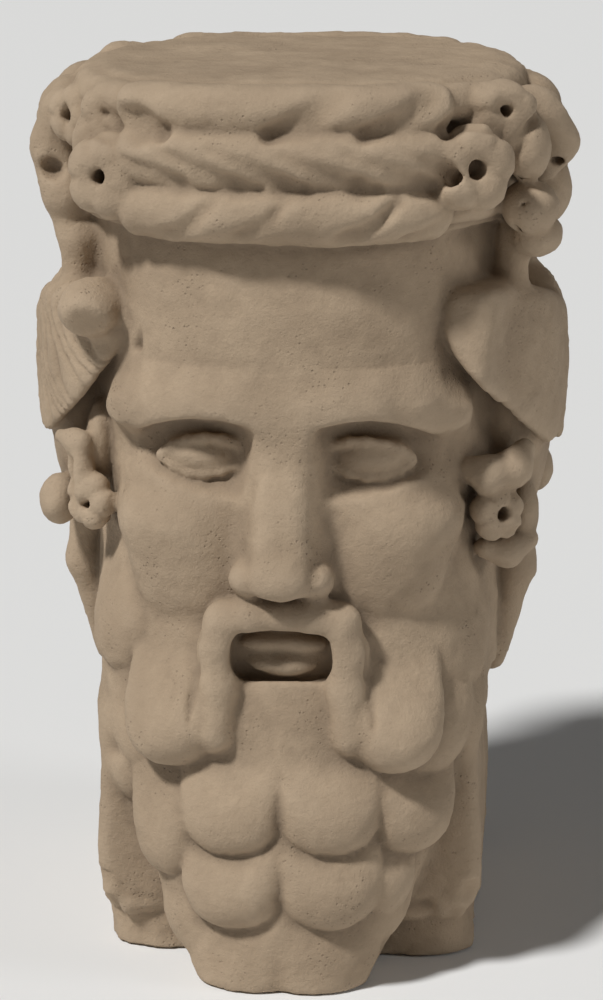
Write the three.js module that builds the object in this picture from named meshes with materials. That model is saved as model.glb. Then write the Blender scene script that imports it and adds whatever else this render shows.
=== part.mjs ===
// Janus herm: a bearded head with two faces set back to back, carved from one block of stone.
// Both faces wear a band of three twisted rolls, with drilled flowers at the temples and the ears.
// The top is dressed flat. The neck is a square block, cut flat below, and the head stands on it.
// Millimetres. +Z is up, the front face looks along -Y, and the origin is the centre of the underside.
import * as THREE from "three";

// Driving dimensions
const HEIGHT = 409;
const HAIRLINE = 341; // lower edge of the band, on the forehead
const FACE_HALF = 87; // half the breadth of the face
const FACE_OUT = 105; // from the middle plane out to the skin of the face
const BLOCK_HALF = [86, 78]; // the neck block, across and through
const CELL = 3.1; // spacing of the grid that the form is sampled on
const MOST_TRIANGLES = 9600;

// Places on the face, from the thirds and fifths of the drawing-book head
const THIRD = 79;
const BROW = HAIRLINE - THIRD;
const NOSE_BASE = BROW - THIRD;
const MOUTH = NOSE_BASE - THIRD / 3;
const EYE_WIDE = (FACE_HALF * 2) / 5;
const EYE = EYE_WIDE; // from the middle line to the middle of an eye
const EYE_LINE = BROW - 19;

// Shapes. Each has a field, a function of x, d and z that is negative inside, and the box it fills.
// x runs to the right as one looks at a face, d out of the face, and z up.

// An egg with its middle at c and half-axes r. With a lean its lower half stands out further.
function egg(c, r, lean = 0) {
  const reach = [r[0], r[1] + Math.abs(lean) * r[2], r[2]];
  const least = Math.min(...r);
  return {
    low: c.map((v, i) => v - reach[i]),
    high: c.map((v, i) => v + reach[i]),
    field: (x, d, z) => {
      const u = (x - c[0]) / r[0];
      const w = (z - c[2]) / r[2];
      const v = (d - c[1] + lean * (z - c[2])) / r[1];
      const near = Math.sqrt(u * u + v * v + w * w);
      const slope = Math.sqrt((u / r[0]) ** 2 + (v / r[1]) ** 2 + (w / r[2]) ** 2);
      return slope < 1e-9 ? -least : (near * (near - 1)) / slope;
    },
  };
}

// Two values run together with a fillet of size k.
function soften(a, b, k) {
  const h = k - Math.abs(a - b);
  return h > 0 ? Math.min(a, b) - (h * h) / (4 * k) : Math.min(a, b);
}

// A lock of hair: a round bar through stops of [x, d, z, radius].
function lock(k, ...stops) {
  const least = (i) => Math.min(...stops.map((s) => s[i] - s[3]));
  const most = (i) => Math.max(...stops.map((s) => s[i] + s[3]));
  const spans = stops.slice(1).map((b, i) => {
    const a = stops[i];
    const e = [b[0] - a[0], b[1] - a[1], b[2] - a[2]];
    return { a, e, long: e[0] ** 2 + e[1] ** 2 + e[2] ** 2, gain: b[3] - a[3] };
  });
  return {
    low: [0, 1, 2].map(least),
    high: [0, 1, 2].map(most),
    field: (x, d, z) => {
      let all = 1e3;
      for (const { a, e, long, gain } of spans) {
        const p = [x - a[0], d - a[1], z - a[2]];
        const along = (p[0] * e[0] + p[1] * e[1] + p[2] * e[2]) / long;
        const t = Math.min(1, Math.max(0, along));
        const off = Math.sqrt((p[0] - t * e[0]) ** 2 + (p[1] - t * e[1]) ** 2 + (p[2] - t * e[2]) ** 2);
        all = soften(all, off - a[3] - t * gain, k);
      }
      return all;
    },
  };
}

function mirrored({ low, high, field }) {
  return {
    low: [-high[0], low[1], low[2]],
    high: [-low[0], high[1], high[2]],
    field: (x, d, z) => field(-x, d, z),
  };
}

// The form in the making: its field on every node of the grid.
const HALF_BOX = [141, 150];
const BOTTOM = -8;
const COUNT = HALF_BOX.map((h) => 2 * Math.ceil(h / CELL) + 1);
COUNT.push(Math.ceil((HEIGHT - 2 * BOTTOM) / CELL) + 1);
const LOW = [(-CELL * (COUNT[0] - 1)) / 2, (-CELL * (COUNT[1] - 1)) / 2, BOTTOM];
const EVERYWHERE = { low: [-1e3, -1e3, -1e3], high: [1e3, 1e3, 1e3] };
const node = (i, j, k) => (k * COUNT[1] + j) * COUNT[0] + i;

class Clay {
  constructor() {
    this.value = new Float32Array(COUNT[0] * COUNT[1] * COUNT[2]).fill(1e3);
  }

  // Runs a rule over the nodes that a shape can touch.
  press({ low, high, field }, k, rule) {
    const margin = Math.max(k, 2 * CELL);
    const from = low.map((v, i) => Math.max(0, Math.ceil((v - margin - LOW[i]) / CELL)));
    const to = high.map((v, i) => Math.min(COUNT[i] - 1, Math.floor((v + margin - LOW[i]) / CELL)));
    for (let kz = from[2]; kz <= to[2]; kz++) {
      for (let j = from[1]; j <= to[1]; j++) {
        for (let i = from[0]; i <= to[0]; i++) {
          const here = field(LOW[0] + i * CELL, LOW[1] + j * CELL, LOW[2] + kz * CELL);
          const n = node(i, j, kz);
          this.value[n] = rule(this.value[n], here);
        }
      }
    }
    return this;
  }

  add(shape, k) {
    return this.press(shape, k, (a, b) => soften(a, b, k));
  }

  carve(shape, k) {
    return this.press(shape, k, (a, b) => -soften(-a, b, k));
  }

  addPair(shape, k) {
    return this.add(shape, k).add(mirrored(shape), k);
  }

  carvePair(shape, k) {
    return this.carve(shape, k).carve(mirrored(shape), k);
  }

  fold(other, k) {
    this.value.forEach((v, n) => {
      this.value[n] = soften(v, other.value[n], k);
    });
    return this;
  }
}

// The value between the stops of a list of [z, value, value...], counted down from the top.
function between(stops, z) {
  const last = stops.findIndex((s) => s[0] <= z);
  if (last === 0) return stops[0].slice(1);
  if (last < 0) return stops[stops.length - 1].slice(1);
  const [a, b] = [stops[last - 1], stops[last]];
  const t = (a[0] - z) / (a[0] - b[0]);
  const s = t * t * (3 - 2 * t) * 0.4 + t * 0.6;
  return a.slice(1).map((v, i) => v + s * (b[i + 1] - v));
}

// How far a plan point lies outside a squarish oval with half-axes a and b.
function outside(x, y, a, b, square = 2.6) {
  const k = (Math.abs(x / a) ** square + Math.abs(y / b) ** square) ** (1 / square);
  return k < 1e-6 ? -Math.min(a, b) : Math.hypot(x, y) * (1 - 1 / k);
}

// The skin by height: half breadth, middle and front.
const SKIN = [
  [350, 84, 10, 99],
  [HAIRLINE, 85, 10, 100],
  [300, 86, 10, 104],
  [BROW, 86, 12, FACE_OUT + 1],
  [225, 84, 20, 99],
  [NOSE_BASE, 80, 24, 97],
  [130, 70, 26, 97],
  [60, 50, 30, 92],
];

// The larger of two values, with the edge between them rounded by k.
function round(a, b, k) {
  return -soften(-a, -b, k);
}

function layAskin(clay) {
  const field = (x, d, z) => {
    const [half, middle, front] = between(SKIN, z);
    return outside(x, d - middle, half, front - middle, 2.6);
  };
  clay.add({ low: [-100, -75, 0], high: [100, 112, 352], field }, 8);
}

function brows(clay) {
  const ridge = [
    [EYE * 0.7, 93, BROW - 1, 9],
    [EYE * 1.4, 87, BROW + 1, 9],
    [66, 73, BROW + 1, 7],
  ];
  clay.addPair(lock(6, ...ridge), 20);
  clay.carvePair(egg([EYE + 2, 112, EYE_LINE - 3], [30, 23, 18]), 3);
  clay.carvePair(lock(4, [EYE + 22, 104, EYE_LINE + 1, 12], [84, 74, EYE_LINE - 2, 13], [112, 46, EYE_LINE - 6, 13]), 4);
  clay.addPair(egg([50, 72, 211], [28, 27, 18]), 12);
  clay.addPair(egg([38, 80, 190], [30, 20, 30]), 14);
}

// Half an almond round an eye, along the lid: up is 1 for the upper lid and -1 for the lower.
function lid(up, tall, thick) {
  const stops = [];
  for (let i = 0; i <= 8; i++) {
    const across = Math.cos((Math.PI * i) / 8);
    const rise = (1 - across * across) ** 0.8 * tall * up;
    const x = EYE + 1 + 20 * across;
    stops.push([x, 93 - 6 * across * across - 0.12 * (x - EYE), EYE_LINE - 1 + rise - 1.5 * across, thick]);
  }
  return lock(2, ...stops);
}

function eyes(clay) {
  clay.addPair(egg([EYE + 1, 79, EYE_LINE - 1], [20, 17, 12]), 3);
  clay.addPair(lid(1, 8.5, 3.4), 2);
  clay.addPair(lid(-1, 8, 2.7), 2);
}

function nose(clay) {
  const wedge = (x, d, z) => {
    const t = Math.min(1, Math.max(0, (BROW + 4 - z) / (THIRD - 8)));
    const front = 99 + 27 * t ** 0.8;
    const half = 8 + 2.5 * t + 0.42 * (front - d);
    const ridge = round(Math.abs(x) - half, d - front, 7);
    return round(ridge, NOSE_BASE + 3 + 0.1 * (d - 112) - z, 6);
  };
  clay.add({ low: [-34, 70, NOSE_BASE - 4], high: [34, 130, BROW + 14], field: wedge }, 8);
  clay.add(egg([0, 116, NOSE_BASE + 12], [11, 11, 10]), 5);
  clay.addPair(egg([15.5, 108, NOSE_BASE + 9], [8, 12, 8.5]), 4);
  clay.carvePair(egg([7, 118, NOSE_BASE + 1], [4.5, 7, 3.5]), 2);
}

// The mass of the beard by height: half breadth, middle and front. It leans forward to a blunt tip.
const BEARD = [
  [196, 84, 30, 89],
  [160, 88, 30, 103],
  [118, 86, 36, 112],
  [88, 77, 52, 117],
  [58, 63, 74, 119],
  [30, 46, 84, 117],
  [0, 28, 88, 110],
];

function beardMass(clay) {
  const field = (x, d, z) => {
    const [half, middle, front] = between(BEARD, z);
    const around = outside(x, d - middle, half, front - middle, 2.4);
    const above = z - 172 - Math.max(0, Math.abs(x) - 46) * 0.8;
    return round(around, above, 12);
  };
  clay.add({ low: [-100, -30, BOTTOM], high: [100, 122, 220], field }, 6);
}

// The d of the surface of the beard at an x and a z.
function beardFront(x, z) {
  const [half, middle, front] = between(BEARD, z);
  const across = Math.min(0.98, Math.abs(x) / half);
  return middle + (front - middle) * (1 - across ** 2.4) ** (1 / 2.4);
}

// Rows of curls from the tip up to the cheeks, each a drop that hangs over the row below.
const CURL_ROWS = [
  { z: 18, xs: [17], wide: 21, tall: 20 },
  { z: 52, xs: [18.5, 50], wide: 20.5, tall: 20.5 },
  { z: 88, xs: [18.5, 54], wide: 20.5, tall: 20.5 },
  { z: 100, xs: [80], wide: 17, tall: 20 },
  { z: 123, xs: [70], wide: 19, tall: 22 },
  { z: 146, xs: [85], wide: 16, tall: 26 },
  { z: 166, xs: [64], wide: 20, tall: 30 },
];

function curls(clay) {
  for (const { z, xs, wide, tall } of CURL_ROWS) {
    for (const x of xs) {
      const turned = x / 95; // the drops at the sides look sideways
      const centre = [x * (1 - 0.1 * turned), beardFront(x, z) - 9 + turned, z + 1];
      clay.addPair(egg(centre, [wide, 15, tall], (8 / tall) * (1 - turned * 0.7)), 3.5);
    }
  }
}

function moustache(clay) {
  clay.carvePair(lock(6, [46, 106, NOSE_BASE - 6, 4], [49, 106, NOSE_BASE - 34, 4]), 8);
  clay.carve(egg([0, 118, MOUTH + 1], [27, 20, 17]), 4);
  clay.add(egg([0, 99, NOSE_BASE - 58], [28, 19, 26], 0.15), 6);
  clay.add(egg([0, 101, MOUTH - 5], [17, 9, 5.5]), 4);
  clay.addPair(egg([8, 100, MOUTH + 5], [13, 8, 4.5]), 1.5);
  const band = [
    [0, 111, NOSE_BASE - 9, 8],
    [14, 112, NOSE_BASE - 8, 9],
    [27, 110, NOSE_BASE - 11, 9.5],
    [34, 109, NOSE_BASE - 22, 9],
    [36, 109, NOSE_BASE - 38, 9.5],
    [41, 109, NOSE_BASE - 50, 13],
  ];
  clay.addPair(lock(4, ...band), 3);
  clay.addPair(egg([44, 108, NOSE_BASE - 60], [20, 18, 18.5], 0.25), 5);
}

// A block with a flat face for each [x, d, z, and its outward direction], with softened edges.
function faceted(k, low, high, faces) {
  const planes = faces.map(([x, d, z, ...n]) => {
    const long = Math.hypot(...n);
    const unit = n.map((v) => v / long);
    return { unit, far: x * unit[0] + d * unit[1] + z * unit[2] };
  });
  const reach = (p, x, d, z) => x * p.unit[0] + d * p.unit[1] + z * p.unit[2] - p.far;
  const field = (x, d, z) => planes.reduce((all, p) => round(all, reach(p, x, d, z), k), -1e3);
  return { low, high, field };
}

// The hair over one ear, from the temple back to the middle of the side. Its lower edge slants.
// The strands run down and forward, and are cut as deep as groove.
const STRAND_WIDE = 13;
function sideHair(groove) {
  const edge = new THREE.Vector3(-1.5, -0.2, -1).normalize();
  const start = edge.dot(new THREE.Vector3(71, 80, 291));
  const field = (x, d, z) => {
    const lay = ((0.88 * d + 0.47 * z + 5 * Math.sin(z / 15)) * Math.PI) / STRAND_WIDE;
    const cap = outside(x, d, 123 - 0.0016 * (z - 268) ** 2, 92, 2.15);
    let all = cap + groove * (1 - Math.sqrt(Math.abs(Math.cos(lay))));
    all = round(all, edge.x * x + edge.y * d + edge.z * z - start, 7);
    all = round(all, z - 313 + 0.0035 * (d - 60) ** 2, 12);
    all = round(all, 236 - z, 8);
    return Math.max(all, -8 - d, 60 - x);
  };
  return { low: [60, -10, 228], high: [126, 92, 318], field };
}

function hair(clay) {
  const end = [
    [80, 83, 303, 0.1, 1, 0.25], // blunt end
    [68, 78, 303, -1, 0.1, 0.1],
    [84, 70, 316, 0.05, 0, 1],
    [94, 70, 303, 1, 0.35, 0],
    [72, 80, 290, -1.3, 0, -1], // along the slanting edge
    [80, 40, 303, 0, -1, 0],
  ];
  clay.add(sideHair(0.7), 3);
  clay.add(faceted(6, [62, 38, 270], [100, 88, 320], end), 3);
  clay.add(mirrored(sideHair(4)), 3);
  clay.add(egg([-86, 67, 304], [13, 17, 14]), 2);
  clay.add(egg([-88, 42, 238], [8, 15, 19]), 3);
}

// A flower seen along its direction: a ring of petals round a drilled hole.
function flower(c, size, hole, face) {
  const n = new THREE.Vector3(...face).normalize();
  const side = new THREE.Vector3(0, 0, 1).cross(n).normalize();
  const up = n.clone().cross(side);
  const reach = size * 1.15;
  return {
    low: c.map((v) => v - reach),
    high: c.map((v) => v + reach),
    field: (x, d, z) => {
      const [px, pd, pz] = [x - c[0], d - c[1], z - c[2]];
      const u = px * side.x + pd * side.y + pz * side.z;
      const v = px * up.x + pd * up.y + pz * up.z;
      const w = px * n.x + pd * n.y + pz * n.z;
      const flat = Math.hypot(u, v);
      const petals = 1 + 0.1 * Math.cos(5 * Math.atan2(v, u) + c[0]);
      const ring = Math.hypot(flat - size * 0.52 * petals, w) - size * 0.5;
      const heart = Math.hypot(flat, w * 1.3) - size * 0.6;
      const drill = Math.max(flat - hole, -w - size * 0.15);
      return -soften(-soften(ring, heart, 3), drill, 1.5);
    },
  };
}

// Flowers as [x, d, z, size, hole], which look away from the axis of the head.
const FLOWERS = [
  [81, 88, 369, 22, 5.5], // at the band, right
  [91, 66, 393, 20, 3.5],
  [108, 12, 381, 17, 3],
  [-80, 84, 363, 21, 4.5], // at the band, left
  [-80, 72, 392, 15, 3],
  [-97, 48, 387, 14, 3],
  [-108, 12, 360, 18, 3],
  [83, 66, 222, 12, 3], // at the ear, right
  [91, 60, 208, 14, 3.5],
  [108, 40, 208, 13, 3],
  [-92, 62, 213, 15, 3.5], // at the ear, left
];

// Buds without a hole, as [middle, half-axes].
const BUDS = [
  [[103, 42, 344], [16, 16, 16]],
  [[108, 12, 350], [15, 18, 20]],
  [[99, 50, 364], [12, 14, 14]],
  [[-106, 14, 388], [14, 17, 14]],
  [[99, 50, 237], [15, 14, 12]],
  [[98, 46, 192], [13, 14, 12]],
  [[-108, 40, 213], [12, 14, 12]],
  [[-109, 36, 203], [11, 14, 11]],
];

// Petals and other thin forms, as stops of a lock.
const PETALS = [
  [[98, 46, 390, 12], [109, 36, 388, 13], [114, 30, 374, 12], [108, 36, 362, 11]],
  [[-104, 34, 388, 11], [-111, 30, 370, 11], [-106, 34, 350, 11]],
  [[-101, 57, 245, 5.5], [-98, 60, 230, 5.5], [-95, 62, 216, 6]],
];

// Stays left between the flowers and the hair below them.
const STAYS = [
  [[98, 40, 336, 7], [98, 36, 306, 9]],
  [[-98, 34, 346, 10], [-98, 30, 300, 12]],
];

function flowers(clay) {
  BUDS.forEach(([middle, half]) => clay.add(egg(middle, half), 3));
  PETALS.forEach((stops) => clay.add(lock(6, ...stops), 3));
  STAYS.forEach((stops) => clay.add(lock(6, ...stops), 6));
  clay.add(egg([80, 66, 378], [16, 18, 20]), 4);
  clay.add(egg([-80, 64, 376], [16, 18, 20]), 4);
  for (const [x, d, z, size, hole] of FLOWERS) {
    clay.add(flower([x, d, z], size, hole, [x * 0.6, d + 24, 3]), 3);
  }
}

// The band: three rolls round the head, each twisted like a rope.
const ROLLS = [
  { z: 353, radius: 13.5, depth: 103, twist: 0.8 },
  { z: 377, radius: 14.5, depth: 104, twist: 2.8 },
  { z: 398, radius: 14, depth: 101, twist: 2 },
];
const STRAND = 23;
const ROLL_END = 58; // along the band from the middle line to the flowers

function band(clay) {
  const inner = (x, y, z) => Math.max(outside(x, y, 97, 96), 342 - z);
  clay.add({ ...EVERYWHERE, low: [-1e3, -1e3, 330], field: inner }, 4);
  for (const { z: middle, radius, depth, twist } of ROLLS) {
    const field = (x, y, z) => {
      const turn = Math.atan2(x, -y) * 96;
      const out = outside(x, y, 94, depth);
      const up = (z - middle) * (middle > 390 && z > middle ? 0.5 : 1);
      const lay = (Math.PI * turn) / STRAND + Math.atan2(up, out) * 1.2;
      const groove = twist * (1 - Math.sqrt(Math.abs(Math.cos(lay))));
      const aside = Math.atan2(Math.abs(x), Math.abs(y)) * 96;
      const end = Math.min(1, Math.max(0, (aside - ROLL_END) / 8));
      return Math.hypot(out, up) - radius * (1 - 0.45 * end * end) + groove;
    };
    clay.add({ ...EVERYWHERE, low: [-1e3, -1e3, middle - 20], high: [1e3, 1e3, middle + 20], field }, 3);
  }
}

function core(clay) {
  const skull = (x, y, z) => {
    const narrower = 8 * Math.min(1, Math.max(0, (230 - z) / 90));
    return Math.max(outside(x, y, 91 - narrower, 82, 2.8), 60 - z, z - 352);
  };
  clay.add({ ...EVERYWHERE, field: skull }, 6);
  const block = (x, y, z) => {
    const flare = z > 50 ? (z - 50) * -0.05 : (z - 50) * 0.03;
    const bx = Math.abs(x) - BLOCK_HALF[0] - 3 - flare + 7;
    const by = Math.abs(y) - BLOCK_HALF[1] + 7;
    const side = Math.hypot(Math.max(bx, 0), Math.max(by, 0)) + Math.min(Math.max(bx, by), 0) - 7;
    return round(side, z - 124, 16);
  };
  clay.add({ ...EVERYWHERE, high: [1e3, 1e3, 140], field: block }, 8);
  for (const y of [-11, 0, 11]) {
    const lower = 138 - Math.abs(y);
    clay.addPair(lock(6, [96, y, 240, 12], [99, y * 1.2, 205, 9], [101, y, 172, 9], [91, y * 0.6, lower, 7]), 3);
  }
}

// One face with its hair and its flowers.
function makeFace() {
  const clay = new Clay();
  layAskin(clay);
  brows(clay);
  eyes(clay);
  nose(clay);
  beardMass(clay);
  curls(clay);
  moustache(clay);
  hair(clay);
  flowers(clay);
  return clay;
}

function makeForm() {
  const face = makeFace();
  const whole = new Clay();
  core(whole);
  whole.value.forEach((v, n) => {
    const i = n % COUNT[0];
    const j = Math.floor(n / COUNT[0]) % COUNT[1];
    const k = Math.floor(n / COUNT[0] / COUNT[1]);
    const front = face.value[node(i, COUNT[1] - 1 - j, k)];
    const rear = face.value[node(COUNT[0] - 1 - i, j, k)];
    whole.value[n] = soften(soften(front, rear, 6), v, 6);
  });
  band(whole);
  const dressed = (x, y, z) => z - HEIGHT + 8 * Math.max(0, outside(x, y, 74, 78, 3) / 34) ** 2;
  whole.press({ ...EVERYWHERE, low: [-1e3, -1e3, 370], field: dressed }, 0, (a, b) => round(a, b, 4));
  return whole.press({ ...EVERYWHERE, high: [1e3, 1e3, 20], field: (x, y, z) => -z }, 0, Math.max);
}

// Draws the surface of the form through the six tetrahedra of each cell of the grid.
// Corner 1 lies along x from corner 0, corner 2 along y and corner 4 along z.
const TETRAHEDRA = [
  [0, 1, 3, 7],
  [0, 2, 6, 7],
  [0, 4, 5, 7],
  [0, 3, 2, 7],
  [0, 5, 1, 7],
  [0, 6, 4, 7],
];
const PAIRS = [
  [0, 1, 2, 3],
  [0, 2, 3, 1],
  [0, 3, 1, 2],
  [1, 2, 0, 3],
  [1, 3, 2, 0],
  [2, 3, 0, 1],
];

function surface({ value }) {
  const points = [];
  const faces = [];
  const made = new Map();
  const step = (c) => node(c & 1, (c >> 1) & 1, c >> 2);
  const steps = [0, 1, 2, 3, 4, 5, 6, 7].map(step);

  const crossing = (n, a, b) => {
    const least = a & b;
    const key = (n + steps[least]) * 8 + (a ^ b);
    if (!made.has(key)) {
      const from = n + steps[least];
      const whole = value[from] / (value[from] - value[n + steps[a | b]]);
      const t = Math.min(0.99, Math.max(0.01, whole));
      const start = [from % COUNT[0], Math.floor(from / COUNT[0]) % COUNT[1], Math.floor(from / COUNT[0] / COUNT[1])];
      points.push(start.map((v, i) => LOW[i] + CELL * (v + t * (((a ^ b) >> i) & 1))));
      made.set(key, points.length - 1);
    }
    return made.get(key);
  };

  const drawTetrahedron = (n, corners) => {
    const inside = corners.map((c) => value[n + steps[c]] < 0);
    const count = inside.filter(Boolean).length;
    if (count === 1 || count === 3) {
      const lone = inside.indexOf(count === 1);
      const ring = [lone ^ 1, lone ^ 2, lone ^ 3].map((o) => crossing(n, corners[lone], corners[o]));
      faces.push(count === 1 ? ring : ring.reverse());
    } else if (count === 2) {
      const [a, b, c, d] = PAIRS.find((p) => inside[p[0]] && inside[p[1]]).map((i) => corners[i]);
      const ring = [crossing(n, a, c), crossing(n, a, d), crossing(n, b, d), crossing(n, b, c)];
      faces.push([ring[0], ring[1], ring[2]], [ring[0], ring[2], ring[3]]);
    }
  };

  for (let k = 0; k < COUNT[2] - 1; k++) {
    for (let j = 0; j < COUNT[1] - 1; j++) {
      for (let i = 0; i < COUNT[0] - 1; i++) {
        const n = node(i, j, k);
        const within = steps.filter((s) => value[n + s] < 0).length;
        if (within > 0 && within < 8) TETRAHEDRA.forEach((t) => drawTetrahedron(n, t));
      }
    }
  }
  return { points, faces };
}

// Keeps the largest closed skin, without crumbs and bubbles.
function largest({ points, faces }) {
  const parent = points.map((_, i) => i);
  const root = (i) => {
    while (parent[i] !== i) {
      parent[i] = parent[parent[i]];
      i = parent[i];
    }
    return i;
  };
  for (const [a, b, c] of faces) {
    parent[root(a)] = root(b);
    parent[root(b)] = root(c);
  }
  const size = new Map();
  for (const [a] of faces) size.set(root(a), (size.get(root(a)) || 0) + 1);
  const best = [...size].reduce((most, next) => (next[1] > most[1] ? next : most))[0];
  return { points, faces: faces.filter(([a]) => root(a) === best) };
}

// A queue that gives back the cheapest entry first.
class Queue {
  constructor() {
    this.items = [];
  }

  push(item) {
    const { items } = this;
    let i = items.length;
    items.push(item);
    while (i > 0) {
      const up = (i - 1) >> 1;
      if (items[up].cost <= item.cost) break;
      items[i] = items[up];
      i = up;
    }
    items[i] = item;
  }

  pop() {
    const { items } = this;
    const first = items[0];
    const last = items.pop();
    if (items.length === 0) return first;
    let i = 0;
    for (;;) {
      let down = 2 * i + 1;
      if (down >= items.length) break;
      if (down + 1 < items.length && items[down + 1].cost < items[down].cost) down++;
      if (items[down].cost >= last.cost) break;
      items[i] = items[down];
      i = down;
    }
    items[i] = last;
    return first;
  }
}

const minus = (a, b) => [a[0] - b[0], a[1] - b[1], a[2] - b[2]];
const cross = (a, b) => [a[1] * b[2] - a[2] * b[1], a[2] * b[0] - a[0] * b[2], a[0] * b[1] - a[1] * b[0]];
const dot = (a, b) => a[0] * b[0] + a[1] * b[1] + a[2] * b[2];
const normalOf = (a, b, c) => cross(minus(b, a), minus(c, a));

// Sums of squared distances to planes: the upper half of a symmetric 4 x 4 matrix.
function planeSum([a, b, c], d, weight) {
  return [a * a, a * b, a * c, a * d, b * b, b * c, b * d, c * c, c * d, d * d].map((v) => v * weight);
}

function strayFrom(q, [x, y, z]) {
  const first = x * (q[0] * x + 2 * (q[1] * y + q[2] * z + q[3]));
  const second = y * (q[4] * y + 2 * (q[5] * z + q[6])) + z * (q[7] * z + 2 * q[8]) + q[9];
  return first + second;
}

// The point nearest to all the planes of q, or the middle of the edge where that is not clear.
function nearest(q, a, b) {
  const [xx, xy, xz, xw, yy, yz, yw, zz, zw] = q;
  const rows = [
    [xx, xy, xz],
    [xy, yy, yz],
    [xz, yz, zz],
  ];
  const minors = [cross(rows[1], rows[2]), cross(rows[2], rows[0]), cross(rows[0], rows[1])];
  const volume = dot(rows[0], minors[0]);
  const middle = a.map((v, i) => (v + b[i]) / 2);
  if (Math.abs(volume) < 1e-7 * (xx + yy + zz) ** 3) return middle;
  const found = [0, 1, 2].map((i) => -(minors[0][i] * xw + minors[1][i] * yw + minors[2][i] * zw) / volume);
  const far = Math.hypot(...minus(found, middle)) > 2 * Math.hypot(...minus(a, b));
  return far ? middle : found;
}

const SLIVER = 1e-3; // twice the area of a triangle too small to have a direction

// Thins a closed skin to at most a number of triangles, by folding the edges whose loss shows least.
function thin({ points, faces }, most) {
  const place = points.map((p) => p);
  const stray = points.map(() => new Array(10).fill(0));
  const around = points.map(() => new Set());
  const turns = new Uint32Array(points.length);
  faces.forEach((f, n) => {
    const normal = normalOf(...f.map((v) => place[v]));
    const long = Math.hypot(...normal) || 1e-12;
    const unit = normal.map((v) => v / long);
    const sum = planeSum(unit, -dot(unit, place[f[0]]), long + 1e-4);
    for (const v of f) {
      around[v].add(n);
      sum.forEach((s, i) => (stray[v][i] += s));
    }
  });
  // A faint pull to where each point began keeps triangles on flat ground in shape.
  points.forEach(([x, y, z], v) => {
    const pull = [1, 0, 0, -x, 1, 0, -y, 1, -z, x * x + y * y + z * z].map((s) => s * 0.01);
    pull.forEach((s, i) => (stray[v][i] += s));
  });

  const queue = new Queue();
  const offer = (a, b) => {
    const q = stray[a].map((s, i) => s + stray[b][i]);
    const to = nearest(q, place[a], place[b]);
    queue.push({ cost: strayFrom(q, to), a, b, to, stamp: turns[a] + turns[b] });
  };
  const nextTo = (v) => new Set([...around[v]].flatMap((n) => faces[n]).filter((o) => o !== v));
  const folds = (v, other, to) => {
    for (const n of around[v]) {
      const f = faces[n];
      if (f.includes(other)) continue;
      const before = normalOf(...f.map((p) => place[p]));
      const after = normalOf(...f.map((p) => (p === v ? to : place[p])));
      const [was, is] = [Math.hypot(...before), Math.hypot(...after)];
      if (was > SLIVER && (is < SLIVER || dot(before, after) < 0.25 * was * is)) return true;
    }
    return false;
  };

  points.forEach((_, a) => {
    if (around[a].size > 0) for (const b of nextTo(a)) if (a < b) offer(a, b);
  });
  let left = faces.length;
  while (left > most && queue.items.length > 0) {
    const { a, b, to, stamp } = queue.pop();
    if (stamp !== turns[a] + turns[b] || around[a].size === 0 || around[b].size === 0) continue;
    const shared = [...nextTo(a)].filter((v) => nextTo(b).has(v));
    if (shared.length !== 2 || folds(a, b, to) || folds(b, a, to)) continue;
    place[a] = to;
    stray[a] = stray[a].map((s, i) => s + stray[b][i]);
    for (const n of around[b]) {
      if (faces[n].includes(a)) {
        faces[n].forEach((v) => v !== b && around[v].delete(n));
        faces[n] = null;
        left--;
      } else {
        faces[n] = faces[n].map((v) => (v === b ? a : v));
        around[a].add(n);
      }
    }
    around[b] = new Set();
    turns[b] += 1e6;
    turns[a]++;
    for (const v of nextTo(a)) offer(a, v);
  }
  return { points: place, faces: faces.filter(Boolean) };
}

function geometryOf({ points, faces }) {
  const used = new Map();
  const position = [];
  const index = faces.flat().map((v) => {
    if (!used.has(v)) {
      used.set(v, used.size);
      const [x, y, z] = points[v];
      position.push(x, y, Math.abs(z) < 0.1 ? 0 : z);
    }
    return used.get(v);
  });
  const geometry = new THREE.BufferGeometry();
  geometry.setAttribute("position", new THREE.Float32BufferAttribute(position, 3));
  geometry.setIndex(index);
  geometry.computeVertexNormals();
  return geometry;
}

const stone = new THREE.MeshStandardMaterial({ color: 0xa39685, roughness: 0.85, metalness: 0 });
const head = new THREE.Mesh(geometryOf(thin(largest(surface(makeForm())), MOST_TRIANGLES)), stone);
head.name = "janus_head";
const group = new THREE.Group();
group.name = "janus_herm";
group.add(head);

export default group;
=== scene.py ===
"""Two-faced herm head in weathered stone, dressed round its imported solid.

The carving is worked out in millimetres, as one face that is then turned half round for the rear,
and becomes one mesh in metres. x runs to the right of one who looks at a face, d out of that face
and z up.
"""
import math
from collections import namedtuple

import bpy
import numpy as np
from bpy.props import FloatProperty, FloatVectorProperty, IntProperty, PointerProperty
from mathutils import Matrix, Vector


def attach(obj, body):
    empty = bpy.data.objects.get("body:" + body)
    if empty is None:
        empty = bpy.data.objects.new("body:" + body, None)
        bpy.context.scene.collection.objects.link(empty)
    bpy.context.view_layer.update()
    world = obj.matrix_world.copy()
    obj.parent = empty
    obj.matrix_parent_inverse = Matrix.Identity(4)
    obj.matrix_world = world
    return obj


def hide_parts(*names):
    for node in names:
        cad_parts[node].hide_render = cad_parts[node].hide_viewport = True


bl_info = {
    "name": "Two-Faced Herm Head",
    "version": (1, 0, 0),
    "blender": (4, 5, 0),
    "location": "3D Viewport > Sidebar > Herm",
    "description": "Carves a two-faced herm head in weathered stone round its packed solid",
    "category": "Object",
}

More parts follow.
